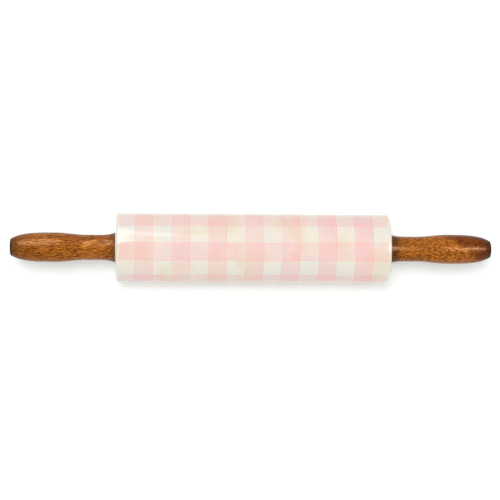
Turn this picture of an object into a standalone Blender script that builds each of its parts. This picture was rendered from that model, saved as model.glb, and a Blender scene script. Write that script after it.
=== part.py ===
"""Ceramic rolling pin with a turning barrel.

A hollow glazed stoneware barrel turns on a steel axle rod. The rod runs right through the barrel
and ends in two turned wooden handles. Everything but the barrel and its two bushes stays still in
the hands while the barrel rolls.

From the middle of each end outwards:
    the barrel's end wall, with a plain hole on the axis
    a nylon bush glued in that hole, whose thin flange keeps the ceramic off the wood
    the axle rod, which steps down to a threaded stub at a shoulder
    a thrust washer between that shoulder and the floor of a recess in the handle
    a brass threaded insert in the wood, in which the stub is screwed
    the wooden handle: flared foot, slim waist, full grip and a blunt nose

Units are metres. The origin is the middle of the barrel on its axis, +X runs along the axis towards
the right handle and +Z is up. The barrel lies on a narrow flat of its facets, at the lowest Z.
"""

import math

import bpy
from mathutils import Matrix

# Barrel: a slip-cast hollow shell with an even wall and rounded rims.
BARREL_LENGTH = 0.2510
BARREL_RADIUS = 0.03175
BARREL_WALL = 0.0080
BARREL_END_WALL = 0.0100
BARREL_RIM_RADIUS = 0.0025
BARREL_INNER_CORNER = 0.0040
BARREL_MOUTH_CHAMFER = 0.0006

# Axle rod: plain steel between two shoulders, with a threaded stub past each.
AXLE_RADIUS = 0.0040
STUB_RADIUS = 0.0030
STUB_LENGTH = 0.0230
STUB_CHAMFER = 0.0006
UNDERCUT_DEPTH = 0.0004
UNDERCUT_WIDTH = 0.0015

# Bush: a moulded nylon sleeve with a thrust flange on the barrel's end face.
BUSH_WALL = 0.0050
BUSH_SLEEVE_LENGTH = 0.0140
BUSH_LEAD_CHAMFER = 0.0008
GLUE_GROOVE_DEPTH = 0.0005
GLUE_GROOVE_WIDTH = 0.0014
GLUE_GROOVE_COUNT = 2
FLANGE_RADIUS = 0.0143
FLANGE_THICKNESS = 0.0006
FLANGE_EDGE = 0.0003

# Thrust washer, in a round recess in the foot of the handle.
WASHER_RADIUS = 0.0080
WASHER_THICKNESS = 0.0012
SHOULDER_IN_HANDLE = 0.0008

# Threaded brass insert, set in the wood below the washer.
INSERT_RADIUS = 0.0060
INSERT_LENGTH = 0.0200
INSERT_CHAMFER = 0.0005
PILOT_DEPTH_SPARE = 0.0060
DRILL_POINT_DEGREES = 118.0

# Handle: turned hardwood, with lengths along its axis from the foot outwards.
HANDLE_LENGTH = 0.0956
FOOT_RADIUS = 0.0139
FOOT_EDGE = 0.0003
FLARE_LENGTH = 0.0170
FLARE_POWER = 3.3
WAIST_RADIUS = 0.0116
RISE_START = 0.0270
RISE_LENGTH = 0.0270
GRIP_RADIUS = 0.01355
NOSE_LENGTH = 0.0400
NOSE_RADIUS = 0.0072
NOSE_FULLNESS = 3.3
NOSE_EDGE_DEPTH = 0.0011
NOSE_FLAT_RADIUS = 0.0050

# Clearances: a seat is the gap between faces that rest on each other, a running gap lets one turn.
SEAT_GAP = 0.0003
RUNNING_GAP = 0.0003
BORE_CLEARANCE = 0.00035

# Facets round each turned piece.
BARREL_FACETS = 64
HANDLE_FACETS = 40
BUSH_FACETS = 40
ROD_FACETS = 24
MERGE_DISTANCE = 0.00001

# Places along the axis that follow from the sizes above, on the right-hand side.
BARREL_END = BARREL_LENGTH / 2
FLANGE_SEAT = BARREL_END + SEAT_GAP
HANDLE_FOOT = FLANGE_SEAT + FLANGE_THICKNESS + RUNNING_GAP
SHOULDER = HANDLE_FOOT + SHOULDER_IN_HANDLE
WASHER_FACE = SHOULDER + SEAT_GAP
RECESS_FLOOR = WASHER_FACE + WASHER_THICKNESS + SEAT_GAP

# Radii that follow from the sizes above.
BUSH_BORE_RADIUS = AXLE_RADIUS + BORE_CLEARANCE
BUSH_SLEEVE_RADIUS = BUSH_BORE_RADIUS + BUSH_WALL
BARREL_BORE_RADIUS = BUSH_SLEEVE_RADIUS + SEAT_GAP
THREAD_BORE_RADIUS = STUB_RADIUS + BORE_CLEARANCE
RECESS_RADIUS = WASHER_RADIUS + BORE_CLEARANCE
PILOT_RADIUS = INSERT_RADIUS + SEAT_GAP

# Colours from the photograph, as linear RGB, with roughness and metallic.
MATERIALS = {
    "glazed_stoneware": ((0.90, 0.73, 0.65), 0.12, 0.0),
    "oiled_hardwood": ((0.38, 0.14, 0.035), 0.45, 0.0),
    "white_nylon": ((0.85, 0.83, 0.78), 0.40, 0.0),
    "bright_steel": ((0.62, 0.61, 0.59), 0.25, 1.0),
    "brass": ((0.73, 0.53, 0.22), 0.30, 1.0),
}

RIGHT = 1
LEFT = -1
SIDES = {"left": LEFT, "right": RIGHT}


def clear_scene():
    """Removes whatever the file opened with."""
    for obj in list(bpy.data.objects):
        bpy.data.objects.remove(obj, do_unlink=True)


def make_material(name):
    """A Principled material from the table of colours."""
    colour, roughness, metallic = MATERIALS[name]
    material = bpy.data.materials.new(name)
    material.use_nodes = True
    shader = material.node_tree.nodes["Principled BSDF"]
    shader.inputs["Base Color"].default_value = (*colour, 1.0)
    shader.inputs["Roughness"].default_value = roughness
    shader.inputs["Metallic"].default_value = metallic
    material.diffuse_color = (*colour, 1.0)
    return material


def quarter_round(centre, across, along, steps):
    """Points of a quarter ellipse from above its centre to beside it, both ends included.

    The centre is a (radius, height), and the ellipse reaches across and along the pin's axis.
    """
    points = []
    for step in range(steps + 1):
        angle = math.pi / 2 * (1 - step / steps)
        points.append((centre[0] + across * math.cos(angle), centre[1] + along * math.sin(angle)))
    return points


def turn(name, outline, facets, material, collection, axis_empty, side=RIGHT, closed=True):
    """A turned piece: the outline swept round the pin's axis by a Screw modifier.

    The outline is a list of (radius, height) that runs down the outer side from top to bottom, where
    height grows away from the pin's middle on the given side. A closed outline is a ring's section;
    an open one starts and ends on the axis. The sweep starts half a facet round, so that one flat
    facet faces straight down.
    """
    count = len(outline)
    edges = [(i, i + 1) for i in range(count - 1)]
    if closed:
        edges.append((count - 1, 0))
    mesh = bpy.data.meshes.new(name)
    mesh.from_pydata([(radius, 0.0, height) for radius, height in outline], edges, [])
    obj = bpy.data.objects.new(name, mesh)
    collection.objects.link(obj)
    screw = obj.modifiers.new("turned", "SCREW")
    screw.axis = "Z"
    screw.angle = 2 * math.pi
    screw.steps = facets
    screw.render_steps = facets
    screw.use_merge_vertices = True
    screw.merge_threshold = MERGE_DISTANCE
    screw.use_smooth_shade = True
    obj.data.materials.append(material)
    along_x = Matrix.Rotation(side * math.pi / 2, 4, "Y")
    half_a_facet = Matrix.Rotation(math.pi / facets, 4, "Z")
    obj.parent = axis_empty
    obj.matrix_world = along_x @ half_a_facet
    return obj


def lifted(outline, height):
    """The outline moved along the axis by a height."""
    return [(radius, z + height) for radius, z in outline]


def barrel_outline():
    """Section of the hollow barrel: outer wall with rounded rims, end walls, bores and cavity."""
    top = BARREL_END
    rim_centre = (BARREL_RADIUS - BARREL_RIM_RADIUS, top - BARREL_RIM_RADIUS)
    cavity_radius = BARREL_RADIUS - BARREL_WALL
    cavity_top = top - BARREL_END_WALL
    corner_centre = (cavity_radius - BARREL_INNER_CORNER, cavity_top - BARREL_INNER_CORNER)
    mouth = BARREL_MOUTH_CHAMFER

    outer = [(BARREL_BORE_RADIUS, top - mouth), (BARREL_BORE_RADIUS + mouth, top)]
    outer += quarter_round(rim_centre, BARREL_RIM_RADIUS, BARREL_RIM_RADIUS, 5)
    inner = [(BARREL_BORE_RADIUS, cavity_top)]
    inner += quarter_round(corner_centre, BARREL_INNER_CORNER, BARREL_INNER_CORNER, 3)
    outer_below = [(radius, -z) for radius, z in reversed(outer)]
    inner_below = [(radius, -z) for radius, z in inner]
    return outer + outer_below + inner_below + inner[::-1]


def bush_outline():
    """Section of a bush, with its height counted from the flange's seat.

    The glue grooves share the sleeve's length evenly.
    """
    flange_edge = FLANGE_EDGE
    lead = BUSH_LEAD_CHAMFER
    groove_floor = BUSH_SLEEVE_RADIUS - GLUE_GROOVE_DEPTH
    flange = [
        (BUSH_BORE_RADIUS, FLANGE_THICKNESS),
        (FLANGE_RADIUS - flange_edge, FLANGE_THICKNESS),
        (FLANGE_RADIUS, FLANGE_THICKNESS - flange_edge),
        (FLANGE_RADIUS, 0.0),
        (BUSH_SLEEVE_RADIUS, 0.0),
    ]
    grooves = []
    for number in range(1, GLUE_GROOVE_COUNT + 1):
        middle = -BUSH_SLEEVE_LENGTH * number / (GLUE_GROOVE_COUNT + 1)
        start = middle + GLUE_GROOVE_WIDTH / 2
        end = middle - GLUE_GROOVE_WIDTH / 2
        grooves += [
            (BUSH_SLEEVE_RADIUS, start),
            (groove_floor, start),
            (groove_floor, end),
            (BUSH_SLEEVE_RADIUS, end),
        ]
    tip = [
        (BUSH_SLEEVE_RADIUS, lead - BUSH_SLEEVE_LENGTH),
        (BUSH_SLEEVE_RADIUS - lead, -BUSH_SLEEVE_LENGTH),
        (BUSH_BORE_RADIUS, -BUSH_SLEEVE_LENGTH),
    ]
    return flange + grooves + tip


def axle_outline():
    """Half section of the axle rod from its right end to its left, on the axis at both."""
    neck = STUB_RADIUS - UNDERCUT_DEPTH
    tip = SHOULDER + STUB_LENGTH
    right = [
        (0.0, tip),
        (STUB_RADIUS - STUB_CHAMFER, tip),
        (STUB_RADIUS, tip - STUB_CHAMFER),
        (STUB_RADIUS, SHOULDER + UNDERCUT_WIDTH),
        (neck, SHOULDER + UNDERCUT_WIDTH - UNDERCUT_DEPTH),
        (neck, SHOULDER),
        (AXLE_RADIUS, SHOULDER),
    ]
    return right + [(radius, -z) for radius, z in reversed(right)]


def washer_outline():
    """Section of a thrust washer, with its height counted from the face by the shoulder."""
    return [
        (THREAD_BORE_RADIUS, WASHER_THICKNESS),
        (WASHER_RADIUS, WASHER_THICKNESS),
        (WASHER_RADIUS, 0.0),
        (THREAD_BORE_RADIUS, 0.0),
    ]


def insert_outline():
    """Section of a threaded insert, with its height counted from the floor of the recess."""
    far = INSERT_LENGTH
    chamfer = INSERT_CHAMFER
    return [
        (THREAD_BORE_RADIUS, far),
        (INSERT_RADIUS - chamfer, far),
        (INSERT_RADIUS, far - chamfer),
        (INSERT_RADIUS, 0.0),
        (THREAD_BORE_RADIUS, 0.0),
    ]


def smooth_step(share):
    """0 before the stretch, 1 after it and a smooth S between."""
    share = min(1.0, max(0.0, share))
    return share * share * (3 - 2 * share)


def handle_radius(along):
    """Radius of the handle at a distance from its foot.

    The waist carries a flare that grows as a power towards the foot, and a smooth rise to the
    grip. The nose draws this in like a superellipse that is cut off before it closes.
    """
    flare_share = max(0.0, 1 - along / FLARE_LENGTH)
    flare = (FOOT_RADIUS - WAIST_RADIUS) * flare_share**FLARE_POWER
    rise = (GRIP_RADIUS - WAIST_RADIUS) * smooth_step((along - RISE_START) / RISE_LENGTH)
    body = WAIST_RADIUS + flare + rise
    end_drop = 1 - (NOSE_RADIUS / GRIP_RADIUS) ** 2
    nose_share = max(0.0, (along - (HANDLE_LENGTH - NOSE_LENGTH)) / NOSE_LENGTH)
    return body * math.sqrt(1 - end_drop * nose_share**NOSE_FULLNESS)


def handle_stations():
    """Distances from the foot at which the handle's outline takes a point, from the nose inwards."""
    nose_start = HANDLE_LENGTH - NOSE_LENGTH
    last = HANDLE_LENGTH - NOSE_EDGE_DEPTH
    nose_points = 9
    # Closer together towards the end, where the nose turns in.
    nose = [nose_start + (last - nose_start) * math.sin(math.pi / 2 * i / nose_points)
            for i in range(nose_points, 0, -1)]
    body_points = 9
    body = [FLARE_LENGTH + (nose_start - FLARE_LENGTH) * i / body_points
            for i in range(body_points, 0, -1)]
    flare_points = 5
    flare = [FOOT_EDGE + (FLARE_LENGTH - FOOT_EDGE) * (i / flare_points) ** 1.5
             for i in range(flare_points, -1, -1)]
    return nose + body + flare


def handle_outline():
    """Half section of a handle from its nose to the blind hole in its foot, on the axis at both."""
    recess_depth = RECESS_FLOOR - HANDLE_FOOT
    pilot_end = recess_depth + INSERT_LENGTH + PILOT_DEPTH_SPARE
    point_depth = PILOT_RADIUS / math.tan(math.radians(DRILL_POINT_DEGREES / 2))
    stations = handle_stations()
    edge_centre = (NOSE_FLAT_RADIUS, stations[0])
    edge_reach = handle_radius(stations[0]) - NOSE_FLAT_RADIUS
    outer = [(0.0, HANDLE_LENGTH)]
    outer += quarter_round(edge_centre, edge_reach, NOSE_EDGE_DEPTH, 4)
    outer += [(handle_radius(along), along) for along in stations[1:]]
    outer.append((handle_radius(FOOT_EDGE) - FOOT_EDGE, 0.0))
    hole = [
        (RECESS_RADIUS, 0.0),
        (RECESS_RADIUS, recess_depth),
        (PILOT_RADIUS, recess_depth),
        (PILOT_RADIUS, pilot_end),
        (0.0, pilot_end + point_depth),
    ]
    return outer + hole


def build():
    """Builds the whole pin in a collection of its own."""
    clear_scene()
    collection = bpy.data.collections.new("ceramic_rolling_pin")
    bpy.context.scene.collection.children.link(collection)
    materials = {name: make_material(name) for name in MATERIALS}

    # The fixed axis carries the rod and handles, and the turning one the barrel and its bushes.
    held = bpy.data.objects.new("held_axis", None)
    rolling = bpy.data.objects.new("rolling_axis", None)
    for empty in (held, rolling):
        collection.objects.link(empty)
    rolling.parent = held

    turn("roller_barrel", barrel_outline(), BARREL_FACETS, materials["glazed_stoneware"],
         collection, rolling)
    turn("axle_rod", axle_outline(), ROD_FACETS, materials["bright_steel"],
         collection, held, closed=False)
    for side_name, side in SIDES.items():
        turn(side_name + "_bush", lifted(bush_outline(), FLANGE_SEAT), BUSH_FACETS,
             materials["white_nylon"], collection, rolling, side)
        turn(side_name + "_washer", lifted(washer_outline(), WASHER_FACE), ROD_FACETS,
             materials["bright_steel"], collection, held, side)
        turn(side_name + "_insert", lifted(insert_outline(), RECESS_FLOOR), ROD_FACETS,
             materials["brass"], collection, held, side)
        turn(side_name + "_handle", lifted(handle_outline(), HANDLE_FOOT), HANDLE_FACETS,
             materials["oiled_hardwood"], collection, held, side, closed=False)


build()
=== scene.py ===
"""Looks of the ceramic rolling pin: fine meshes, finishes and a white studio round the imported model.

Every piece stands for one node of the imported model, in its place and at its size. The pin is a
glazed stoneware barrel on two nylon bushes, a steel rod with a threaded stub at each end, and two
turned hardwood handles with brass inserts. +X runs along the pin to the right handle, +Z is up.
"""

import logging
import math
from collections.abc import Callable
from dataclasses import dataclass
from enum import Enum
from functools import partial

import bpy
import numpy as np
from mathutils import Matrix, Vector


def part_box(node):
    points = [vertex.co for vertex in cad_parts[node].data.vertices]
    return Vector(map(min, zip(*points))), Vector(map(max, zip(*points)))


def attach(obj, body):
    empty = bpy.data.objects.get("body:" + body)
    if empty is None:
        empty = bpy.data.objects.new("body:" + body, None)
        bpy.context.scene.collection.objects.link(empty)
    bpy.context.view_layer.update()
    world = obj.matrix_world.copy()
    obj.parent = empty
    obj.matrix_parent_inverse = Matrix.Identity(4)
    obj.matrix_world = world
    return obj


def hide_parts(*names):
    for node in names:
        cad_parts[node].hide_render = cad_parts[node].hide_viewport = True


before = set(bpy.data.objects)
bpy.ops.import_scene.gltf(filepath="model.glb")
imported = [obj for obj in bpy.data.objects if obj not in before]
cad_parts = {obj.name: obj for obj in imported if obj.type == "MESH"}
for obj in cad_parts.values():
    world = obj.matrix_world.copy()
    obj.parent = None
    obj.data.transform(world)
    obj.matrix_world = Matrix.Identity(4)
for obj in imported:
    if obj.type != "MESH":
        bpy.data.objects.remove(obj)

AddNode = Callable[..., bpy.types.Node]
Span = tuple[float, float]
Tones = tuple[tuple[float, str], ...]

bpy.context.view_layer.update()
MM = 0.001
FULL_TURN = 2 * math.pi
SHARP_EDGE = math.radians(38.0)
# A grid's point lies on the turned outside if its radius is more than this share of it.
ON_OUTSIDE = 0.999
# The flat top and the flat bottom of a screw thread, each as a share of the pitch.
THREAD_FLAT = 1 / 6

HANDLES_BODY = "handles"
BARREL_BODY = "barrel"

# Nearly all of a noise texture's values lie between these two.
NOISE = (0.3, 0.7)
# A place multiplied by this keeps only what lies across the pin.
ACROSS = (0.0, 1.0, 1.0)
# Numbers of a Mix node's two colour inputs, whose names its other inputs have too.
COLOUR_A, COLOUR_B = 6, 7
BLEND = {"data_type": "RGBA"}
TINT = {"data_type": "RGBA", "blend_type": "MULTIPLY"}
SMOOTH = {"interpolation_type": "SMOOTHSTEP"}

log = logging.getLogger("rolling_pin")


class Side(Enum):
    """The end of the pin that a piece is on, as the sign of its X."""

    LEFT = -1
    RIGHT = 1

    def named(self, piece: str) -> str:
        """Name of this side's copy of a piece, such as left_bush."""
        return f"{self.name.lower()}_{piece}"


class Grain(Enum):
    """Which way a surface's fine lines run, as the scale of the coordinates that they are drawn in."""

    ALONG = (0.04, 1.0, 1.0)
    ROUND = (1.0, 0.06, 0.06)


def linear(colour: str) -> tuple[float, float, float, float]:
    """Turns an sRGB colour into the linear values that a shader takes.

    Args:
        colour: The colour as #rrggbb.

    Returns:
        Linear red, green, blue and an alpha of 1.
    """
    values = []
    for start in (1, 3, 5):
        share = int(colour[start:start + 2], 16) / 255
        values.append(share / 12.92 if share <= 0.04045 else ((share + 0.055) / 1.055) ** 2.4)
    return (values[0], values[1], values[2], 1.0)


def feed(node: bpy.types.Node, inputs: dict | tuple) -> None:
    """Sets inputs of a node.

    Args:
        node: The node.
        inputs: What each input takes, in the order of the inputs or by their names or numbers: a
            value, an sRGB colour, the socket that feeds it, or the node whose first output in use
            feeds it.
    """
    for key, value in inputs.items() if isinstance(inputs, dict) else enumerate(inputs):
        if isinstance(value, bpy.types.Node):
            value = next(output for output in value.outputs if output.enabled)
        if isinstance(value, bpy.types.NodeSocket):
            node.id_data.links.new(value, node.inputs[key])
        else:
            node.inputs[key].default_value = linear(value) if isinstance(value, str) else value


def add_node(tree: bpy.types.NodeTree, kind: str, inputs: dict | tuple = (), tones: Tones = (),
             **settings: str | bool) -> bpy.types.Node:
    """Adds a node to a tree, with its settings and links.

    Args:
        tree: The tree that takes the node.
        kind: The node's type name, without the ShaderNode that it starts with.
        inputs: What its inputs take, as for feed.
        tones: Positions and sRGB colours of a colour ramp, in rising order.
        settings: Attributes of the node.

    Returns:
        The new node.
    """
    node = tree.nodes.new("ShaderNode" + kind)
    for name, value in settings.items():
        setattr(node, name, value)
    for number, (position, colour) in enumerate(tones):
        elements = node.color_ramp.elements
        element = elements[number] if number < len(elements) else elements.new(position)
        element.position = position
        element.color = linear(colour)
    feed(node, inputs)
    return node


def new_material(name: str) -> tuple[bpy.types.Material, AddNode, bpy.types.Node]:
    """Makes an empty material.

    Args:
        name: The material's name.

    Returns:
        The material, add_node for its tree, and its Principled shader.
    """
    material = bpy.data.materials.new(name)
    material.use_nodes = True
    tree = material.node_tree
    return material, partial(add_node, tree), tree.nodes["Principled BSDF"]


def add_object(name: str, data: bpy.types.ID) -> bpy.types.Object:
    """Adds an object to the scene, at the origin.

    Args:
        name: The object's name.
        data: The mesh, lamp or camera that it holds.

    Returns:
        The object.
    """
    thing = bpy.data.objects.new(name, data)
    bpy.context.scene.collection.objects.link(thing)
    return thing


def facing(back: Vector, turn: float) -> Matrix:
    """Axes of a lamp or camera whose width lies along the pin, but for its turn.

    Args:
        back: Unit vector that points from what it faces towards it.
        turn: Angle that it is turned by, about that vector.

    Returns:
        A matrix with its right, its up and its back as columns.
    """
    right = Matrix.Rotation(turn, 3, back) @ (Vector((1, 0, 0)) - back * back.x).normalized()
    return Matrix((right, back.cross(right), back)).transposed()


def smooth_noise(shape: tuple[int, int], lengths: Span, seed: int) -> np.ndarray:
    """A grid of soft random relief that repeats without a seam.

    White noise is multiplied, in the frequency plane, by a Gaussian that removes what is finer than
    the lengths: e to minus twice the squared frequency, in waves per length. The result is scaled so
    that its standard deviation is 1.

    Args:
        shape: Rows and columns of the grid.
        lengths: Size of a bump along the rows' and the columns' direction, in grid steps.
        seed: Seed of the white noise.

    Returns:
        The relief, of the given shape.
    """
    white = np.random.default_rng(seed).standard_normal(shape)
    across = np.fft.fftfreq(shape[0])[:, None] * lengths[0]
    along = np.fft.fftfreq(shape[1])[None, :] * lengths[1]
    kept = np.exp(-2 * (across**2 + along**2))
    relief = np.real(np.fft.ifft2(np.fft.fft2(white) * kept))
    return (relief - relief.mean()) / relief.std()


def reach(node: str) -> Span:
    """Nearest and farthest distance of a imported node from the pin's middle, along the pin."""
    low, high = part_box(node)
    near, far = sorted((abs(low.x), abs(high.x)))
    return near, far


class Section:
    """The section of a turned piece: a path of points, each a distance along the axis and a radius."""

    def __init__(self, along: float, radius: float) -> None:
        """Starts the path at a point."""
        self.stretches = [np.array([[along, radius]])]

    @property
    def end(self) -> np.ndarray:
        """The path's last point."""
        return self.stretches[-1][-1]

    @property
    def last_row(self) -> int:
        """The last point's row in the grids."""
        return sum(map(len, self.stretches)) - 1

    def line(self, along: float, radius: float, steps: int = 1) -> None:
        """Goes straight to a point.

        Args:
            along: The point's distance along the axis.
            radius: The point's radius.
            steps: How many equal steps the stretch takes.
        """
        share = np.arange(1, steps + 1)[:, None] / steps
        self.stretches.append(self.end + share * (np.array([along, radius]) - self.end))

    def turn(self, along: float, radius: float, leaves_along: bool, steps: int = 6) -> None:
        """Goes to a point by a quarter of an ellipse.

        Args:
            along: The point's distance along the axis.
            radius: The point's radius.
            leaves_along: Whether the curve starts off along the axis, and not across it.
            steps: How many equal angles the curve takes.
        """
        angle = np.arange(1, steps + 1) / steps * math.pi / 2
        first = np.sin(angle)
        second = 1 - np.cos(angle)
        shares = np.stack((first, second) if leaves_along else (second, first), axis=1)
        self.stretches.append(self.end + shares * (np.array([along, radius]) - self.end))

    def curve(self, along: np.ndarray, radius: np.ndarray) -> None:
        """Adds the points of a worked-out curve."""
        self.stretches.append(np.stack((along, radius), axis=1))

    def grids(self, columns: int) -> tuple[np.ndarray, np.ndarray]:
        """Spreads the path over a grid with a row for each point.

        Args:
            columns: Columns of the grid, one for each step round the axis.

        Returns:
            The distances along the axis and the radii, each as rows by columns.
        """
        path = np.concatenate(self.stretches)
        ones = np.ones((1, columns))
        return path[:, :1] * ones, path[:, 1:] * ones


def steps_round(columns: int) -> np.ndarray:
    """Angles of the columns of a turned grid, once round the axis in equal steps."""
    return np.arange(columns)[None, :] * (FULL_TURN / columns)


def revolved(name: str, along: np.ndarray, radius: np.ndarray, poles: Span | None = None) -> bpy.types.Object:
    """Makes a closed turned piece from a grid.

    The point at a row and a column lies at X = along, Y = radius times the sine of the column's
    angle, Z = radius times its cosine. The last column joins the first. A ring's last row joins its
    first, and a solid piece ends in two points on the axis instead, each with a fan of triangles.

    Args:
        name: The object's name.
        along: Distance along the axis, rows by columns, in metres from the pin's middle.
        radius: Radius, rows by columns.
        poles: X of the two points on the axis, before the first row and after the last.

    Returns:
        The object, with its faces pointing outwards.
    """
    rows, columns = radius.shape
    angle = steps_round(columns)
    points = np.stack((along, radius * np.sin(angle), radius * np.cos(angle)), axis=-1).reshape(-1, 3)
    index = np.arange(rows * columns).reshape(rows, columns)
    upper = index if poles is None else index[:-1]
    lower = np.roll(index, -1, axis=0) if poles is None else index[1:]
    quads = np.stack((upper, lower, np.roll(lower, -1, axis=1), np.roll(upper, -1, axis=1)), axis=-1)
    quads = quads.reshape(-1, 4)
    fans = np.zeros((0, 3), int)
    if poles is not None:
        points = np.vstack((points, [[poles[0], 0, 0], [poles[1], 0, 0]]))
        first, last = index[0], index[-1]
        start = np.stack((np.full(columns, rows * columns), first, np.roll(first, -1)), axis=1)
        finish = np.stack((np.full(columns, rows * columns + 1), np.roll(last, -1), last), axis=1)
        fans = np.vstack((start, finish))
    # The volume below the faces, as the sum of the corners' triple products, tells which way they point.
    triangles = np.vstack((quads[:, :3], quads[:, [0, 2, 3]], fans))
    a, b, c = (points[triangles[:, corner]] for corner in range(3))
    if np.einsum("ij,ij->", a, np.cross(b, c)) < 0:
        quads = quads[:, ::-1]
        fans = fans[:, ::-1]
    mesh = bpy.data.meshes.new(name)
    mesh.from_pydata(points.tolist(), [], quads.tolist() + fans.tolist())
    mesh.shade_smooth()
    mesh.set_sharp_from_angle(angle=SHARP_EDGE)
    return add_object(name, mesh)


def store(piece: bpy.types.Object, name: str, values: np.ndarray) -> None:
    """Keeps one number for each vertex of a piece, for its material to read.

    Args:
        piece: The piece.
        name: The attribute's name.
        values: The numbers in the order of the grid. Vertices past them, the poles, take the last.
    """
    count = len(piece.data.vertices)
    flat = values.reshape(-1).astype(np.float32)
    flat = np.append(flat, np.full(count - flat.size, flat[-1], np.float32))
    piece.data.attributes.new(name, "FLOAT", "POINT").data.foreach_set("value", flat)


def dress(piece: bpy.types.Object, node: str, body: str, material: bpy.types.Material) -> None:
    """Gives a piece its finish and its place in the pin.

    Args:
        piece: The piece.
        node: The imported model's node that it stands for.
        body: The body that it moves with.
        material: Its finish.
    """
    piece.data.materials.append(material)
    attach(piece, body)
    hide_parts(node)
    log.info("%s: %d faces in %s", piece.name, len(piece.data.polygons), material.name)


@dataclass(frozen=True)
class PaintedStoneware:
    """Glazed stoneware: white clay painted by hand under a clear fired glaze.

    The eye sees a hard wet gloss over chalky colour. The paint is a gingham: see-through pink bands
    brushed round the barrel and stripes brushed along it, deeper where they cross. Shades are what
    the paint's opacity is multiplied by, and the pool reaches in as far as so many soft edges.
    """

    length: float
    radius: float
    clay: Tones = ((0.38, "#f1e4cc"), (0.5, "#f5ecdc"), (0.62, "#eeeae0"))
    clay_patch: float = 30 * MM
    pink: str = "#ffb4b8"
    opacity: float = 0.35
    band_period: float = 33.4 * MM
    stripes_round: float = 6.0
    stripe_turn: float = 0.35 * FULL_TURN
    edge_softness: float = 0.25 * MM
    edge_wander: float = 0.56 * MM
    wander_length: float = 26 * MM
    bare_rim: float = 2.6 * MM
    rim_softness: float = 0.3 * MM
    streak_width: float = 0.9 * MM
    streak_detail: float = 3.0
    streak_roughness: float = 0.6
    streak_shades: Span = (0.68, 1.26)
    cloud_size: float = 22 * MM
    cloud_shades: Span = (0.70, 1.25)
    band_shades: Span = (0.86, 1.14)
    pool_shade: float = 1.50
    pool_edges: float = 6.0
    flow_size: float = 3.5 * MM
    flow_strength: float = 0.25
    flow_depth: float = 0.02 * MM
    roughness: Span = (0.07, 0.13)
    glaze_ior: float = 1.52

    def _brushed(self, node: AddNode, place: bpy.types.NodeSocket, turn: bpy.types.Node,
                 grain: Grain) -> bpy.types.Node:
        """Opacity of one set of brushed bands.

        Args:
            node: add_node for the material's tree.
            place: Object coordinates.
            turn: An angle that grows by a full turn from the middle of each band to the next.
            grain: Which way the brush went.

        Returns:
            The node that gives the opacity, from 0 to 1.
        """
        # The angle's cosine is above 0 inside the bands and below 0 between them.
        wave = node("Math", (turn,), operation="COSINE")
        edge = FULL_TURN * self.edge_softness / self.band_period
        opacity = node("MapRange", (wave, -edge, edge), **SMOOTH)
        streak_place = node("Mapping", {"Vector": place, "Scale": grain.value})
        streaks = node("TexNoise", {"Vector": streak_place, "Scale": 1 / self.streak_width,
                                    "Detail": self.streak_detail, "Roughness": self.streak_roughness})
        streaked = node("MapRange", (streaks, *NOISE, *self.streak_shades))
        cloud = node("TexNoise", {"Vector": place, "Scale": 1 / self.cloud_size})
        clouded = node("MapRange", (cloud, *NOISE, *self.cloud_shades))
        # Each band was loaded with its own amount of paint.
        bands = node("Math", (turn, FULL_TURN), operation="DIVIDE")
        number = node("Math", (bands,), operation="ROUND")
        load = node("TexWhiteNoise", {"W": number}, noise_dimensions="1D")
        loaded = node("MapRange", (load, 0.0, 1.0, *self.band_shades))
        # Colour gathers in a thin line just inside each edge, where the brush lifted.
        pooled = node("MapRange", (wave, edge, self.pool_edges * edge, self.pool_shade, 1.0), **SMOOTH)
        for shade in (streaked, clouded, loaded, pooled):
            opacity = node("Math", (opacity, shade), operation="MULTIPLY")
        return node("Math", (opacity, self.opacity), operation="MULTIPLY", use_clamp=True)

    def material(self) -> bpy.types.Material:
        """Builds the glazed and painted finish."""
        material, node, shader = new_material("hand_painted_glazed_stoneware")
        place = node("TexCoord").outputs["Object"]
        axes = node("SeparateXYZ", (place,))
        angle = node("Math", (axes.outputs["Y"], axes.outputs["Z"]), operation="ARCTAN2")

        # The brush wanders off its line, by one noise along the barrel and by another round it.
        noise = node("TexNoise", {"Vector": place, "Scale": 1 / self.wander_length})
        wander = node("SeparateColor", (noise.outputs["Color"],))
        step, lean = self.edge_wander, self.edge_wander / self.radius
        stepped = node("MapRange", (wander.outputs[0], *NOISE, -step, step), clamp=False)
        along = node("Math", (axes.outputs["X"], stepped), operation="ADD")
        leaned = node("MapRange", (wander.outputs[1], *NOISE, -lean, lean), clamp=False)
        about = node("Math", (angle, leaned), operation="ADD")
        band_turn = node("Math", (along, FULL_TURN / self.band_period), operation="MULTIPLY")
        stripe_turn = node("Math", (about, self.stripes_round, self.stripe_turn), operation="MULTIPLY_ADD")

        # The paint stops where the rim starts to turn.
        from_middle = node("Math", (along,), operation="ABSOLUTE")
        stop, soft = self.length / 2 - self.bare_rim, self.rim_softness
        painted = node("MapRange", (from_middle, stop - soft, stop + soft, 1.0, 0.0), **SMOOTH)

        # The clay is a little warmer or cooler from place to place.
        patches = node("TexNoise", {"Vector": place, "Scale": 1 / self.clay_patch})
        colour = node("ValToRGB", (patches,), self.clay)
        for turn, grain in ((band_turn, Grain.ROUND), (stripe_turn, Grain.ALONG)):
            layer = self._brushed(node, place, turn, grain)
            amount = node("Math", (layer, painted), operation="MULTIPLY")
            colour = node("Mix", {0: amount, COLOUR_A: colour, COLOUR_B: self.pink}, **BLEND)

        # A fired glaze is faintly uneven, so its highlights have a slight waver.
        flow = node("TexNoise", {"Vector": place, "Scale": 1 / self.flow_size})
        skin = node("Bump", {"Strength": self.flow_strength, "Distance": self.flow_depth, "Height": flow})
        wet = node("MapRange", (flow, 0.0, 1.0, *self.roughness))
        feed(shader, {"Base Color": colour, "Normal": skin, "Roughness": wet, "IOR": self.glaze_ior})
        return material


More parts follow.
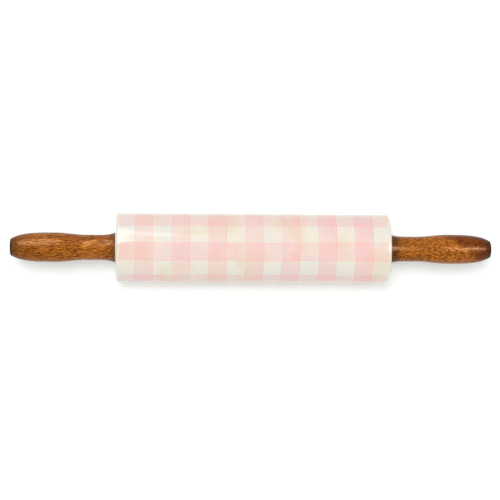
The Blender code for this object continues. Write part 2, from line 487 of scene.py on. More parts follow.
@dataclass(frozen=True)
class OiledHardwood:
    """Acacia-like hardwood, turned on a lathe, sanded and oiled.

    The eye sees short dark pore lines along the piece on orange-brown wood, a wavy figure where the
    fibres interlock, a zone of redder, darker wood in a part of it, darker wood where the turning cuts
    across the grain, painted shade where the soaked attribute carries it, and a satin sheen that takes
    the colour of the wood. The lines are drawn about twice as coarse as real pores, so that they show
    in the render.

    The redder, darker zone starts at a place and deepens along X and along Y over the distances of its
    run. A smaller line stretch draws longer lines, and a smaller shade span a stronger contrast between
    the shades of the darkest and the palest lines. Mottle, rings and pores change the shade by up to
    the shade that is named for each. The roughness is that of the hollows, then of the ridges. The
    soak and shade depth is the shade of wood that the soaked attribute fills: oil on both handles, and
    painted shade as well on the right one.
    """

    name: str
    cut: tuple[float, float, float]
    soak_and_shade_depth: float
    dark_zone_start: Span
    line_stretch: float
    figure_bend: float
    shade_span: float
    dark_zone_run: Span = (16 * MM, 8 * MM)
    dark_zone_tint: str = "#bf9e7a"
    dark_zone_wander: float = 1.2
    dark_zone_patch: float = 7 * MM
    shades: Span = (0.05, 1.03)
    tones: Tones = ((0.0, "#4e2102"), (0.28, "#7c3a04"), (0.60, "#a1530d"), (1.0, "#d78933"))
    lean: tuple[float, float, float] = (0.0, math.radians(2.0), math.radians(-1.5))
    figure_size: float = 4.5 * MM
    line_detail: float = 1.0
    fibre_width: float = 0.45 * MM
    pore_width: float = 0.5 * MM
    pore_shortness: float = 1.3
    pore_edge: Span = (0.57, 0.64)
    pore_shade: float = 0.20
    pore_depth: float = 1.2
    mottle_size: float = 4.5 * MM
    mottle_swirl: float = 0.6
    mottle_shade: float = 0.02
    ring_spacing: float = 5.5 * MM
    ring_sharpness: float = 3.0
    ring_shade: float = 0.06
    relief: float = 0.06 * MM
    roughness: Span = (0.28, 0.16)
    sheen: float = 0.18
    sheen_colour: str = "#ffcb98"
    wood_ior: float = 1.5

    def _grain(self, node: AddNode, board: bpy.types.Node) -> tuple[bpy.types.Node, bpy.types.Node]:
        """Shade and depth of the grain.

        Args:
            node: add_node for the material's tree.
            board: Coordinates in the board that the piece was cut from.

        Returns:
            The node with the shade, 0 in the darkest lines and 1 in the palest wood, and the node
            with the height of the surface.
        """
        # The fibres weave from side to side, which bends every line drawn along them.
        figure = node("TexNoise", {"Vector": board, "Scale": 1 / self.figure_size})
        bend = (0.0, 2 * self.figure_bend, 2 * self.figure_bend)
        bent = node("VectorMath", (figure.outputs["Color"], bend, board), operation="MULTIPLY_ADD")
        lines = []
        for width, shortness in ((self.fibre_width, 1.0), (self.pore_width, self.pore_shortness)):
            drawn_out = node("Mapping", {"Vector": bent, "Scale": (shortness * self.line_stretch, 1.0, 1.0)})
            lines.append(node("TexNoise", {"Vector": drawn_out, "Scale": 1 / width,
                                           "Detail": self.line_detail}))
        fibres, pore_noise = lines
        pores = node("MapRange", (pore_noise, *self.pore_edge), **SMOOTH)
        mottle = node("TexNoise", {"Vector": board, "Scale": 1 / self.mottle_size,
                                   "Distortion": self.mottle_swirl})

        # Growth rings round a pith line outside the piece, each fading slowly and ending sharply.
        flat = node("VectorMath", (bent, ACROSS), operation="MULTIPLY")
        from_pith = node("VectorMath", (flat,), operation="LENGTH")
        rings = node("Math", (from_pith, self.ring_spacing), operation="DIVIDE")
        ring = node("Math", (rings,), operation="FRACT")
        late = node("Math", (ring, self.ring_sharpness), operation="POWER")

        palest = (1 + self.shade_span) / 2
        shade = node("MapRange", (fibres, 1 - palest, palest, *self.shades), clamp=False)
        mottled = node("MapRange", (mottle, *NOISE, -self.mottle_shade, self.mottle_shade))
        shade = node("Math", (shade, mottled), operation="ADD")
        shade = node("Math", (late, -self.ring_shade, shade), operation="MULTIPLY_ADD")
        shade = node("Math", (pores, -self.pore_shade, shade), operation="MULTIPLY_ADD", use_clamp=True)
        height = node("Math", (pores, -self.pore_depth, fibres), operation="MULTIPLY_ADD")
        return shade, height

    def _dark_zone(self, node: AddNode, place: bpy.types.NodeSocket) -> bpy.types.Node:
        """How far the wood lies in the redder, darker zone, with a boundary that wanders.

        Args:
            node: add_node for the material's tree.
            place: Object coordinates.

        Returns:
            The node that gives the share, from 0 to 1.
        """
        slope = (1 / self.dark_zone_run[0], 1 / self.dark_zone_run[1], 0.0)
        start = sum(distance * rise for distance, rise in zip(self.dark_zone_start, slope))
        towards = node("VectorMath", (place, slope), operation="DOT_PRODUCT")
        noise = node("TexNoise", {"Vector": place, "Scale": 1 / self.dark_zone_patch})
        wandered = node("Math", (noise, self.dark_zone_wander, towards), operation="MULTIPLY_ADD")
        edge = start + self.dark_zone_wander / 2
        return node("MapRange", (wandered, edge, edge + 1), **SMOOTH)

    def material(self) -> bpy.types.Material:
        """Builds the oiled wood."""
        material, node, shader = new_material(self.name)
        place = node("TexCoord").outputs["Object"]
        # Each handle is cut from its own place in the board, with its grain a little off the axis.
        board = node("Mapping", {"Vector": place, "Location": self.cut, "Rotation": self.lean})
        shade, height = self._grain(node, board)
        wood = node("ValToRGB", (shade,), self.tones)

        # Where the turning cuts across the grain, on the nose and the flare, the wood drinks more oil.
        # The same attribute also carries painted shade: the barrel's shadow on the right handle's flare and
        # foot.
        soaked = node("Attribute", attribute_name="soaked").outputs["Fac"]
        soak_and_shade_tint = node("MapRange", (soaked, 0.0, 1.0, 1.0, self.soak_and_shade_depth))
        oiled = node("Mix", {0: 1.0, COLOUR_A: wood, COLOUR_B: soak_and_shade_tint}, **TINT)
        # Redder, darker wood in a zone that deepens along X and along Y.
        dark_zone_share = self._dark_zone(node, place)
        colour = node("Mix", {0: dark_zone_share, COLOUR_A: oiled, COLOUR_B: self.dark_zone_tint}, **TINT)

        satin = node("MapRange", (height, *NOISE, *self.roughness))
        relief = node("Bump", {"Distance": self.relief, "Height": height})
        feed(shader, {"Base Color": colour, "Roughness": satin, "Normal": relief, "IOR": self.wood_ior,
                      "Specular IOR Level": self.sheen, "Specular Tint": self.sheen_colour})
        return material


@dataclass(frozen=True)
class EndGrain:
    """The same hardwood sawn across its fibres, which soak up the oil.

    The eye sees a dry matt dark brown face with arcs of growth rings and the cut ends of the pores,
    and a near-black line round its edge, where the oil dried thickest. The line fades into the wood.
    """

    name: str
    edge_radius: float
    nose_end: float
    sawn: str = "#5a3417"
    late_wood: str = "#39200d"
    open_pore: str = "#1f1006"
    soaked: str = "#150a03"
    fading: str = "#4c270e"
    line_start: float = -0.6 * MM
    line_full: float = 0.9 * MM
    fade: Span = (0.9 * MM, 2.0 * MM)
    pith: tuple[float, float, float] = (0.0, 11 * MM, -17 * MM)
    ring_spacing: float = 1.7 * MM
    ring_wobble: float = 4 * MM
    ring_sharpness: float = 2.0
    pore_size: float = 0.35 * MM
    pore_edge: Span = (0.55, 0.66)
    pore_strength: float = 0.6
    pore_depth: float = 0.05 * MM
    roughness: float = 0.9
    sheen: float = 0.04

    def material(self) -> bpy.types.Material:
        """Builds the oil-soaked end grain."""
        material, node, shader = new_material(self.name)
        place = node("TexCoord").outputs["Object"]
        flat = node("VectorMath", (place, ACROSS), operation="MULTIPLY")
        from_pith = node("VectorMath", (flat, self.pith), operation="DISTANCE")
        wobble = node("TexNoise", {"Vector": flat, "Scale": 1 / self.ring_wobble})
        rings = node("Math", (from_pith, 1 / self.ring_spacing, wobble), operation="MULTIPLY_ADD")
        ring = node("Math", (rings,), operation="FRACT")
        late = node("Math", (ring, self.ring_sharpness), operation="POWER")
        ringed = node("Mix", {0: late, COLOUR_A: self.sawn, COLOUR_B: self.late_wood}, **BLEND)
        pores = node("TexNoise", {"Vector": place, "Scale": 1 / self.pore_size})
        holes = node("MapRange", (pores, *self.pore_edge))
        pored = node("Mix", {0: holes, COLOUR_A: ringed, COLOUR_B: self.open_pore}, **BLEND)

        # The dark line starts inside the face's edge, is full outside it, and fades on from the nose.
        radius = node("VectorMath", (flat,), operation="LENGTH")
        line_start, line_full = self.edge_radius + self.line_start, self.edge_radius + self.line_full
        soak = node("MapRange", (radius, line_start, line_full), **SMOOTH)
        axes = node("SeparateXYZ", (place,))
        from_middle = node("Math", (axes.outputs["X"],), operation="ABSOLUTE")
        from_nose = node("Math", (self.nose_end, from_middle), operation="SUBTRACT")
        faded = node("MapRange", (from_nose, *self.fade), **SMOOTH)
        line = node("Mix", {0: faded, COLOUR_A: self.soaked, COLOUR_B: self.fading}, **BLEND)
        colour = node("Mix", {0: soak, COLOUR_A: pored, COLOUR_B: line}, **BLEND)
        relief = node("Bump", {"Strength": self.pore_strength, "Distance": self.pore_depth, "Height": pores})
        feed(shader, {"Base Color": colour, "Normal": relief, "Roughness": self.roughness,
                      "Specular IOR Level": self.sheen})
        return material


@dataclass(frozen=True)
class MouldedNylon:
    """Natural nylon 6, injection moulded.

    The eye sees a milky off-white that light sinks into, with a soft sheen and a faint orange peel.
    """

    colour: str = "#f4f0e6"
    peel_size: float = 0.6 * MM
    peel_shades: Span = (0.96, 1.0)
    peel_strength: float = 0.2
    peel_depth: float = 0.02 * MM
    roughness: float = 0.38
    milkiness: float = 0.15
    light_depth: float = 1.0 * MM
    nylon_ior: float = 1.53

    def material(self) -> bpy.types.Material:
        """Builds the moulded nylon."""
        material, node, shader = new_material("moulded_nylon")
        place = node("TexCoord").outputs["Object"]
        peel = node("TexNoise", {"Vector": place, "Scale": 1 / self.peel_size})
        shade = node("MapRange", (peel, *NOISE, *self.peel_shades))
        colour = node("Mix", {0: 1.0, COLOUR_A: self.colour, COLOUR_B: shade}, **TINT)
        skin = node("Bump", {"Strength": self.peel_strength, "Distance": self.peel_depth, "Height": peel})
        feed(shader, {"Base Color": colour, "Normal": skin, "Roughness": self.roughness,
                      "IOR": self.nylon_ior, "Subsurface Weight": self.milkiness,
                      "Subsurface Scale": self.light_depth})
        return material


@dataclass(frozen=True)
class TurnedMetal:
    """A metal turned on a lathe, with fine tool rings round the axis.

    The eye sees bright metal whose highlight is drawn out across the rings.
    """

    name: str
    colour: str
    ring_width: float = 0.12 * MM
    ring_shades: Span = (0.90, 1.0)
    ring_strength: float = 0.3
    ring_depth: float = 0.01 * MM
    roughness: Span = (0.20, 0.36)

    def material(self) -> bpy.types.Material:
        """Builds the turned metal."""
        material, node, shader = new_material(self.name)
        place = node("TexCoord").outputs["Object"]
        ring_place = node("Mapping", {"Vector": place, "Scale": Grain.ROUND.value})
        rings = node("TexNoise", {"Vector": ring_place, "Scale": 1 / self.ring_width})
        worn = node("MapRange", (rings, *NOISE, *self.roughness))
        shade = node("MapRange", (rings, *NOISE, *self.ring_shades))
        colour = node("Mix", {0: 1.0, COLOUR_A: self.colour, COLOUR_B: shade}, **TINT)
        skin = node("Bump", {"Strength": self.ring_strength, "Distance": self.ring_depth, "Height": rings})
        feed(shader, {"Base Color": colour, "Normal": skin, "Roughness": worn, "Metallic": 1.0})
        return material


def thread(along: np.ndarray, columns: int, pitch: float, depth: float, run_out: float) -> np.ndarray:
    """Depth of a screw thread below its crests.

    A triangle wave of the distance along in pitches, less the turn round the axis, has its top and
    bottom cut flat. It fades to nothing over the run-out at both ends of the thread.

    Args:
        along: Distances along the axis, rows by columns.
        columns: Steps round the axis.
        pitch: Distance from crest to crest.
        depth: Depth of the root below the crest.
        run_out: Length over which the thread starts and stops.

    Returns:
        How far the surface lies below the crests, rows by columns.
    """
    phase = along / pitch - steps_round(columns) / FULL_TURN
    triangle = np.abs(2 * (phase % 1.0) - 1)
    profile = np.clip((triangle - THREAD_FLAT) / (1 - 2 * THREAD_FLAT), 0, 1)
    from_end = np.minimum(along - along.min(), along.max() - along)
    return depth * profile * np.clip(from_end / run_out, 0, 1)


@dataclass
class Barrel:
    """The glazed barrel: a hollow shell with rounded rims, flat ends and a bore in each."""

    length: float
    radius: float
    wall: float = 8.0 * MM
    end_wall: float = 10.0 * MM
    rim: float = 2.5 * MM
    inner_corner: float = 4.0 * MM
    bore: float = 9.65 * MM
    mouth: float = 0.6 * MM
    waver: float = 0.03 * MM
    waver_length: float = 9.0 * MM
    waver_limit: float = 2.0
    waver_seed: int = 3
    step: float = 0.85 * MM
    columns: int = 224

    def section(self) -> Section:
        """The shell's section, from the right rim along the outside, and back through the hollow."""
        end = self.length / 2
        rim, mouth, corner = self.rim, self.mouth, self.inner_corner
        hollow_end = end - self.end_wall
        hollow = self.radius - self.wall
        outer_steps = round((self.length - 2 * rim) / self.step)
        path = Section(end - rim, self.radius)
        path.line(rim - end, self.radius, outer_steps)
        path.turn(-end, self.radius - rim, leaves_along=True, steps=10)
        path.line(-end, self.bore + mouth, steps=6)
        path.turn(mouth - end, self.bore, leaves_along=False, steps=4)
        path.line(-hollow_end, self.bore, steps=4)
        path.line(-hollow_end, hollow - corner, steps=4)
        path.turn(corner - hollow_end, hollow, leaves_along=False)
        path.line(hollow_end - corner, hollow, steps=40)
        path.turn(hollow_end, hollow - corner, leaves_along=True)
        path.line(hollow_end, self.bore, steps=4)
        path.line(end - mouth, self.bore, steps=4)
        path.turn(end, self.bore + mouth, leaves_along=True, steps=4)
        path.line(end, self.radius - rim, steps=6)
        path.turn(end - rim, self.radius, leaves_along=False, steps=10)
        return path

    def build(self) -> bpy.types.Object:
        """Makes the shell, with the slow waver of a surface finished by hand.

        The waver is soft noise that only takes material away, and only from the outer wall. Past its
        limit, in standard deviations, it goes no higher and no deeper.
        """
        along, radius = self.section().grids(self.columns)
        # The section comes back to its first point, which the ring has already.
        along, radius = along[:-1], radius[:-1]
        round_step = FULL_TURN * self.radius / self.columns
        lengths = (self.waver_length / self.step, self.waver_length / round_step)
        relief = smooth_noise(radius.shape, lengths, self.waver_seed)
        cut = self.waver * np.clip(1 + relief / self.waver_limit, 0, 2)
        outside = radius > self.radius - self.rim
        return revolved("glazed_barrel", along, radius - np.where(outside, cut, 0))

    def add(self) -> None:
        """Builds and dresses the barrel."""
        finish = PaintedStoneware(length=self.length, radius=self.radius)
        dress(self.build(), "roller_barrel", BARREL_BODY, finish.material())


@dataclass(frozen=True)
class OilAndShade:
    """How much oil a handle's wood took up, which darkens it, and the painted shade added to it.

    Flare and nose say how readily those parts drank, with 1 for the usual, and the full angle is the
    angle of cut grain at which they are full; a flare above 1 also paints shade on the flare. The nose
    creep says how full the wood is at its nose, where oil crept in along the fibres, and how far it
    got. The painted foot shade is painted shade, the barrel's shadow on the foot, as a share that
    falls off from the foot over its length.
    """

    flare: float
    nose: float
    painted_foot_shade: float
    painted_foot_shade_length: float = 11 * MM
    nose_creep: float = 0.8
    nose_creep_length: float = 2.2 * MM
    full_angle: float = math.radians(21.6)


@dataclass
class Handle:
    """One turned handle, with a blind hole in its foot for the insert and a recess for the washer."""

    side: Side
    foot: float
    length: float
    recess_depth: float
    oil_and_shade: OilAndShade
    foot_radius: float = 13.9 * MM
    foot_edge: float = 0.3 * MM
    flare: float = 17.0 * MM
    flare_power: float = 3.3
    waist: float = 11.6 * MM
    rise_start: float = 27.0 * MM
    rise: float = 27.0 * MM
    grip: float = 13.55 * MM
    nose: float = 40.0 * MM
    nose_radius: float = 7.2 * MM
    nose_fullness: float = 3.3
    nose_edge: float = 1.1 * MM
    nose_flat: float = 5.0 * MM
    tip_radius: float = 0.4 * MM
    nose_soak: float = 1.8 * MM
    foot_soak: float = 0.45 * MM
    recess_radius: float = 8.35 * MM
    pilot_radius: float = 6.3 * MM
    pilot_depth: float = 28.6 * MM
    drill_point: float = 3.8 * MM
    drill_share: float = 0.94
    step: float = 0.32 * MM
    columns: int = 180
    grain_depth: float = 0.022 * MM
    grain_length: float = 5.0 * MM
    grain_columns: float = 2.0
    grain_limit: float = 3.0
    grain_seed: int = 11

    def radius_at(self, along: np.ndarray) -> np.ndarray:
        """Radius of the turned outside at distances from the foot.

        The waist, plus a flare that grows as a power towards the foot, plus a smooth rise to the
        grip, all drawn in at the nose like a superellipse that is cut off before it closes.
        """
        flare_share = np.clip(1 - along / self.flare, 0, 1)
        rise_share = np.clip((along - self.rise_start) / self.rise, 0, 1)
        body = (self.waist + (self.foot_radius - self.waist) * flare_share**self.flare_power
                + (self.grip - self.waist) * rise_share**2 * (3 - 2 * rise_share))
        nose_share = np.clip((along - (self.length - self.nose)) / self.nose, 0, 1)
        drop = 1 - (self.nose_radius / self.grip) ** 2
        return body * np.sqrt(1 - drop * nose_share**self.nose_fullness)

    def section(self) -> Section:
        """The handle's half section, from its nose to the bottom of the hole in its foot."""
        edge_start = self.length - self.nose_edge
        outside = np.linspace(edge_start, self.foot_edge, round(edge_start / self.step))
        drill_end = self.pilot_depth + self.drill_share * self.drill_point
        path = Section(self.length, self.tip_radius)
        path.line(self.length, self.nose_flat, steps=8)
        path.turn(edge_start, float(self.radius_at(np.array(edge_start))), leaves_along=False, steps=8)
        path.curve(outside[1:], self.radius_at(outside[1:]))
        path.turn(0.0, path.end[1] - self.foot_edge, leaves_along=True, steps=4)
        path.line(0.0, self.recess_radius, steps=5)
        path.line(self.recess_depth, self.recess_radius, steps=3)
        path.line(self.recess_depth, self.pilot_radius, steps=3)
        path.line(self.pilot_depth, self.pilot_radius, steps=12)
        path.line(drill_end, (1 - self.drill_share) * self.pilot_radius, steps=4)
        return path

    def soak_and_shade(self, along: np.ndarray, radius: np.ndarray) -> np.ndarray:
        """How full of oil the wood is, with painted shade at the foot, from 0 to 1.

        Wood takes up the more oil the more steeply the turning cuts its grain, until it is full. The oil
        that crept in at the nose and the painted shade at the foot, the barrel's shadow there, are added,
        and fall off from the ends as a power of e.

        Args:
            along: Distances from the foot, rows by columns.
            radius: Radii of the smooth section, rows by columns.

        Returns:
            How far the wood is darkened, by oil and by painted shade, rows by columns.
        """
        oil_and_shade = self.oil_and_shade
        rise, run = (np.abs(np.gradient(grid[:, :1], axis=0)) for grid in (radius, along))
        parts = [along < self.flare, along > self.length - self.nose]
        thirst = np.select(parts, [oil_and_shade.flare, oil_and_shade.nose], 0.0)
        # The foot's part is painted shade: the barrel's shadow on the handle's foot.
        crept = (oil_and_shade.painted_foot_shade * np.exp(-along / oil_and_shade.painted_foot_shade_length)
                 + oil_and_shade.nose_creep * np.exp((along - self.length) / oil_and_shade.nose_creep_length))
        return np.clip(np.arctan2(rise, run) / oil_and_shade.full_angle * thirst + crept, 0, 1)

    def build(self) -> bpy.types.Object:
        """Makes the handle, with shallow relief along the grain on its turned outside."""
        along, radius = self.section().grids(self.columns)
        lengths = (self.grain_length / self.step, self.grain_columns)
        relief = smooth_noise(radius.shape, lengths, self.grain_seed + self.side.value)
        cut = self.grain_depth * np.clip(1 + relief, 0, self.grain_limit)
        outside = radius > ON_OUTSIDE * self.radius_at(along)
        x = self.side.value * (self.foot + along)
        poles = (self.side.value * (self.foot + self.length),
                 self.side.value * (self.foot + self.pilot_depth + self.drill_point))
        piece = revolved(self.side.named("turned_handle"), x, radius - np.where(outside, cut, 0), poles)
        # The soaked attribute carries oil darkening and, on the right handle, painted shade.
        store(piece, "soaked", self.soak_and_shade(along, radius))
        return piece

    def add(self, wood: OiledHardwood) -> None:
        """Builds and dresses the handle, with end grain on its two cut ends and round their edges."""
        piece = self.build()
        dress(piece, self.side.named("handle"), HANDLES_BODY, wood.material())
        nose_end = self.foot + self.length
        sawn = EndGrain(self.side.named("end_grain"), self.nose_flat, nose_end)
        piece.data.materials.append(sawn.material())
        grained = (self.foot + self.foot_soak, nose_end - self.nose_soak)
        for face in piece.data.polygons:
            face.material_index = int(not grained[0] < abs(face.center.x) < grained[1])


@dataclass
class Axle:
    """The steel rod: a plain shaft with a shoulder, a neck and a threaded stub at each end."""

    tip: float
    shaft: float = 4.0 * MM
    stub: float = 3.0 * MM
    neck: float = 2.6 * MM
    neck_width: float = 1.5 * MM
    stub_length: float = 23.0 * MM
    chamfer: float = 0.6 * MM
    edge: float = 0.2 * MM
    pitch: float = 1.0 * MM
    thread_depth: float = 0.45 * MM
    run_out: float = 1.5 * MM
    steps_per_pitch: int = 10
    columns: int = 40

    def half(self) -> tuple[np.ndarray, np.ndarray]:
        """Grids of the right half: from the stub's tip to the shoulder, thread and all."""
        thread_start = self.tip - self.chamfer
        shoulder = self.tip - self.stub_length
        thread_end = shoulder + self.neck_width
        path = Section(self.tip, self.stub - self.chamfer)
        path.line(thread_start, self.stub, steps=4)
        first = path.last_row
        turns = (thread_start - thread_end) / self.pitch
        path.line(thread_end, self.stub, round(turns * self.steps_per_pitch))
        threaded = slice(first, path.last_row + 1)
        path.line(thread_end - (self.stub - self.neck), self.neck, steps=2)
        path.line(shoulder, self.neck, steps=2)
        path.line(shoulder, self.shaft - self.edge, steps=2)
        path.line(shoulder - self.edge, self.shaft)
        along, radius = path.grids(self.columns)
        radius[threaded] -= thread(along[threaded], self.columns, self.pitch, self.thread_depth, self.run_out)
        return along, radius

    def build(self) -> bpy.types.Object:
        """Makes the rod from its right half and the mirrored left one."""
        along, radius = self.half()
        whole_along = np.vstack((along, -along[::-1]))
        whole_radius = np.vstack((radius, radius[::-1]))
        return revolved("steel_axle_rod", whole_along, whole_radius, (self.tip, -self.tip))

    def add(self, steel: bpy.types.Material) -> None:
        """Builds and dresses the rod."""
        dress(self.build(), "axle_rod", HANDLES_BODY, steel)


@dataclass
class EndStack:
    """What carries one end of the barrel: a flanged bush, a thrust washer and a threaded insert.

    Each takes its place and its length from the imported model, as a nearest and a farthest distance
    from the pin's middle.
    """

    side: Side
    bush_reach: Span
    washer_reach: Span
    insert_reach: Span
    flange_radius: float = 14.3 * MM
    flange_edge: float = 0.3 * MM
    sleeve: float = 9.35 * MM
    sleeve_length: float = 14.0 * MM
    bush_bore: float = 4.35 * MM
    groove_depth: float = 0.5 * MM
    groove_width: float = 1.4 * MM
    grooves: int = 2
    lead: float = 0.8 * MM
    washer_radius: float = 8.0 * MM
    washer_roll: float = 0.3 * MM
    thread_bore: float = 3.35 * MM
    insert_radius: float = 6.0 * MM
    insert_chamfer: float = 0.5 * MM
    insert_face: float = 0.8 * MM
    insert_pitch: float = 2.0 * MM
    insert_thread: float = 0.55 * MM
    insert_steps: int = 90
    columns: int = 96

    def _placed(self, name: str, path: Section, start: float,
                cut: np.ndarray | float = 0.0) -> bpy.types.Object:
        """Revolves a closed section in its place.

        Args:
            name: The piece's name, without its side.
            path: The section, with distances counted outwards from the start.
            start: The start's distance from the pin's middle.
            cut: How far the surface lies below the section.

        Returns:
            The object.
        """
        along, radius = path.grids(self.columns)
        along, radius = along[:-1], (radius - cut)[:-1]
        return revolved(self.side.named(name), self.side.value * (start + along), radius)

    def bush(self) -> bpy.types.Object:
        """Makes the nylon bush, with glue grooves round its sleeve."""
        edge, lead = self.flange_edge, self.lead
        near, far = self.bush_reach
        seat = near + self.sleeve_length
        flange = far - seat
        path = Section(flange, self.bush_bore)
        path.line(flange, self.flange_radius - edge, steps=8)
        path.turn(flange - edge, self.flange_radius, leaves_along=False, steps=4)
        path.line(0.0, self.flange_radius, steps=3)
        path.line(0.0, self.sleeve, steps=3)
        for number in range(1, self.grooves + 1):
            middle = -self.sleeve_length * number / (self.grooves + 1)
            path.line(middle + self.groove_width / 2, self.sleeve, steps=4)
            path.turn(middle, self.sleeve - self.groove_depth, leaves_along=False, steps=4)
            path.turn(middle - self.groove_width / 2, self.sleeve, leaves_along=True, steps=4)
        path.line(lead - self.sleeve_length, self.sleeve, steps=4)
        path.turn(-self.sleeve_length, self.sleeve - lead, leaves_along=True, steps=4)
        path.line(-self.sleeve_length, self.bush_bore, steps=3)
        path.line(flange, self.bush_bore, steps=12)
        return self._placed("flanged_bush", path, seat)

    def thrust_washer(self) -> bpy.types.Object:
        """Makes the washer, with the rolled edge of a stamped part on its outer face."""
        near, far = self.washer_reach
        thickness, roll = far - near, self.washer_roll
        path = Section(thickness, self.thread_bore)
        path.line(thickness, self.washer_radius - roll, steps=5)
        path.turn(thickness - roll, self.washer_radius, leaves_along=False, steps=4)
        path.line(0.0, self.washer_radius, steps=3)
        path.line(0.0, self.thread_bore, steps=5)
        path.line(thickness, self.thread_bore, steps=3)
        return self._placed("thrust_washer", path, near)

    def insert(self) -> bpy.types.Object:
        """Makes the brass insert, with a coarse wood thread outside."""
        near, far = self.insert_reach
        length = far - near
        path = Section(length, self.thread_bore)
        path.line(length, self.insert_radius - self.insert_chamfer, steps=3)
        path.line(length - self.insert_chamfer, self.insert_radius, steps=2)
        first = path.last_row
        path.line(self.insert_face, self.insert_radius, self.insert_steps)
        threaded = slice(first, path.last_row + 1)
        path.line(0.0, self.insert_radius, steps=2)
        path.line(0.0, self.thread_bore, steps=4)
        path.line(length, self.thread_bore, steps=30)
        along, radius = path.grids(self.columns)
        cut = np.zeros_like(radius)
        cut[threaded] = thread(along[threaded], self.columns, self.insert_pitch, self.insert_thread,
                               run_out=self.insert_pitch)
        return self._placed("threaded_insert", path, near, cut)

    def add(self, nylon: bpy.types.Material, steel: bpy.types.Material, brass: bpy.types.Material) -> None:
        """Builds and dresses the three pieces in their finishes."""
        dress(self.bush(), self.side.named("bush"), BARREL_BODY, nylon)
        dress(self.thrust_washer(), self.side.named("washer"), HANDLES_BODY, steel)
        dress(self.insert(), self.side.named("insert"), HANDLES_BODY, brass)


@dataclass(frozen=True)
class SoftLamp:
    """A softbox that shows as a reflection in the glaze and on the oiled wood, and lights nothing else.

    It faces the pin's axis, square to it, with its width along the pin before its turn. Its light is
    given by radiance, which is 1 for a surface that shows as plain white.
    """

    name: str
    place: tuple[float, float, float]
    width: float
    height: float
    radiance: float
    turn: float = 0.0

    def add(self) -> None:
        """Hangs the lamp."""
        data = bpy.data.lights.new(self.name, "AREA")
        data.shape = "RECTANGLE"
        data.size = self.width
        data.size_y = self.height
        data.energy = self.radiance * math.pi * self.width * self.height
        lamp = add_object(self.name, data)
        back = (Vector(self.place) * Vector(ACROSS)).normalized()
        lamp.matrix_world = Matrix.Translation(self.place) @ facing(back, self.turn).to_4x4()
        lamp.visible_diffuse = False


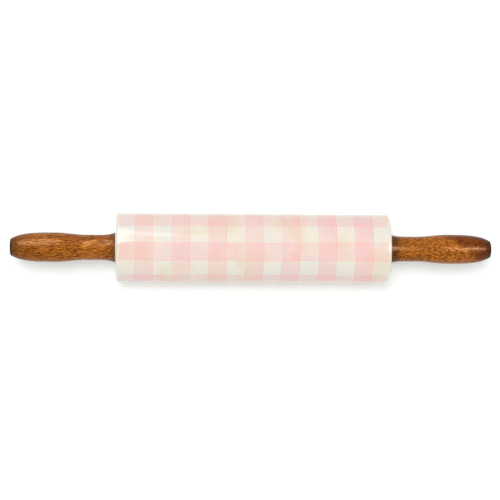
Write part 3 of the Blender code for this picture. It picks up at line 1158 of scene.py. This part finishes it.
@dataclass
class Studio:
    """A white table under soft light, and a long-lens camera above it.

    The ceiling's tilt is how far its light travels to the left and to the front on its way down. It
    is below 0 where the light comes from there.
    """

    table_height: float
    camera_distance: float = 1.542
    camera_yaw: float = math.radians(4.03)
    camera_elevation: float = math.radians(75.0)
    camera_roll: float = math.radians(0.31)
    focal_pixels: float = 1668.4
    picture_pixels: float = 500.0
    pin_middle: Span = (252.5, 248.2)
    sensor: float = 36.0
    table_size: float = 14.0
    table_colour: str = "#eaf1f0"
    table_lift: float = 0.265
    ambient: float = 0.62
    ceiling_share: float = 0.39
    ceiling_spread: float = math.radians(26.0)
    ceiling_tilt: Span = (math.radians(-9.0), math.radians(-2.2))
    lamps: tuple[SoftLamp, ...] = (
        SoftLamp("barrel_softbox", place=(-0.075, 0.60, 1.04), width=0.062, height=0.36, radiance=2.8,
                 turn=math.radians(10.6)),
        SoftLamp("left_window", place=(-0.60, 0.52, 1.08), width=0.90, height=1.15, radiance=17.5),
        SoftLamp("right_softbox", place=(0.93, -0.20, 1.10), width=1.06, height=0.50, radiance=36.0),
    )

    def camera(self) -> None:
        """Sets the camera so that the pin lies in the picture as in the photograph.

        It looks past the pin's middle by the pin's distance from the picture's middle, and stands
        towards the left handle, which is a little larger in the picture for it.
        """
        yaw, elevation = self.camera_yaw, self.camera_elevation
        back = Vector((-math.sin(yaw), -math.cos(yaw) * math.cos(elevation),
                       math.cos(yaw) * math.sin(elevation)))
        axes = facing(back, self.camera_roll)
        middle = self.picture_pixels / 2
        off_middle = axes @ Vector((middle - self.pin_middle[0], self.pin_middle[1] - middle, 0.0))
        aim = off_middle * (self.camera_distance / self.focal_pixels)
        data = bpy.data.cameras.new("camera")
        data.sensor_width = self.sensor
        data.lens = self.focal_pixels * self.sensor / self.picture_pixels
        camera = add_object("camera", data)
        camera.matrix_world = Matrix.Translation(aim + back * self.camera_distance) @ axes.to_4x4()
        bpy.context.scene.camera = camera

    def ceiling(self) -> None:
        """Lights the table from a wide bright ceiling, which gives the pin its soft short shadow.

        The ceiling is too even to see in the glaze, so it is left out of reflections.
        """
        data = bpy.data.lights.new("bright_ceiling", "SUN")
        data.energy = self.ceiling_share * math.pi
        data.angle = self.ceiling_spread
        lamp = add_object("bright_ceiling", data)
        to_left, to_front = self.ceiling_tilt
        lamp.rotation_euler = (-to_front, to_left, 0.0)
        lamp.visible_glossy = False

    @staticmethod
    def _shown(node: AddNode) -> bpy.types.Node:
        """A node that is 1 for what the camera sees, straight or by way of the pin, and 0 otherwise."""
        path = node("LightPath")
        seen = node("Math", (path.outputs["Is Camera Ray"], path.outputs["Is Glossy Ray"]),
                    operation="MAXIMUM")
        return node("Math", (seen, path.outputs["Is Transmission Ray"]), operation="MAXIMUM")

    def table(self) -> None:
        """Lays the white table, lifted to white for the camera and keeping the pin's shadow."""
        half = self.table_size / 2
        mesh = bpy.data.meshes.new("white_table")
        corners = [(x * half, y * half, self.table_height) for x, y in ((-1, -1), (1, -1), (1, 1), (-1, 1))]
        mesh.from_pydata(corners, [], [(0, 1, 2, 3)])
        table = add_object("white_table", mesh)
        material, node, shader = new_material("matt_white_laminate")
        tree = material.node_tree
        tree.nodes.remove(shader)
        matt = node("BsdfDiffuse", {"Color": self.table_colour})
        lift = node("Math", (self._shown(node), self.table_lift), operation="MULTIPLY")
        glow = node("Emission", {"Strength": lift})
        feed(tree.nodes["Material Output"], {"Surface": node("AddShader", (matt, glow))})
        mesh.materials.append(material)

    def world(self) -> None:
        """Surrounds the pin with even white light, and shows the camera a white background."""
        world = bpy.data.worlds.new("white_room")
        bpy.context.scene.world = world
        world.use_nodes = True
        node = partial(add_node, world.node_tree)
        strength = node("MapRange", (self._shown(node), 0.0, 1.0, self.ambient, 1.0))
        feed(world.node_tree.nodes["Background"], {"Color": "#ffffff", "Strength": strength})

    def build(self) -> None:
        """Sets up camera, table, world and lamps."""
        bpy.context.scene.view_settings.view_transform = "Standard"
        self.camera()
        self.table()
        self.world()
        self.ceiling()
        for lamp in self.lamps:
            lamp.add()


def main() -> None:
    """Builds the pin and its studio in order."""
    logging.basicConfig(level=logging.INFO, format="%(name)s %(message)s")
    barrel_low, barrel_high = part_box("roller_barrel")
    Studio(table_height=barrel_low.z).build()
    Barrel(length=barrel_high.x - barrel_low.x, radius=barrel_high.z).add()
    steel = TurnedMetal("turned_steel", "#c9c8c4").material()
    brass = TurnedMetal("turned_brass", "#d9b76a").material()
    woods = {
        Side.LEFT: OiledHardwood(
            "left_oiled_acacia", cut=(-300 * MM, 21 * MM, 28 * MM), soak_and_shade_depth=0.48,
            dark_zone_start=(180 * MM, 0.0), line_stretch=0.06, figure_bend=0.5 * MM, shade_span=0.264),
        # The right wood's deeper soak and shade depth partly paints the barrel's shadow on its foot and
        # flare.
        Side.RIGHT: OiledHardwood(
            "right_oiled_acacia", cut=(340 * MM, 21 * MM, 40 * MM), soak_and_shade_depth=0.30,
            dark_zone_start=(174 * MM, 7 * MM), dark_zone_run=(16 * MM, 11 * MM), line_stretch=0.14,
            figure_bend=0.75 * MM, shade_span=0.262, shades=(0.10, 1.08)),
    }
    # The right handle's flare above 1 and its painted foot shade paint the barrel's shadow on its flare and
    # foot.
    oil_and_shade_by_side = {Side.LEFT: OilAndShade(flare=1.0, nose=0.9, painted_foot_shade=0.0),
               Side.RIGHT: OilAndShade(flare=1.4, nose=0.60, painted_foot_shade=0.55)}
    nylon = MouldedNylon().material()
    Axle(tip=reach("axle_rod")[1]).add(steel)
    for side in Side:
        bush, washer, insert, handle = (reach(side.named(piece)) for piece in
                                        ("bush", "washer", "insert", "handle"))
        EndStack(side, bush, washer, insert).add(nylon, steel, brass)
        foot, nose = handle
        Handle(side, foot, nose - foot, insert[0] - foot, oil_and_shade_by_side[side]).add(woods[side])


if __name__ == "__main__":
    main()
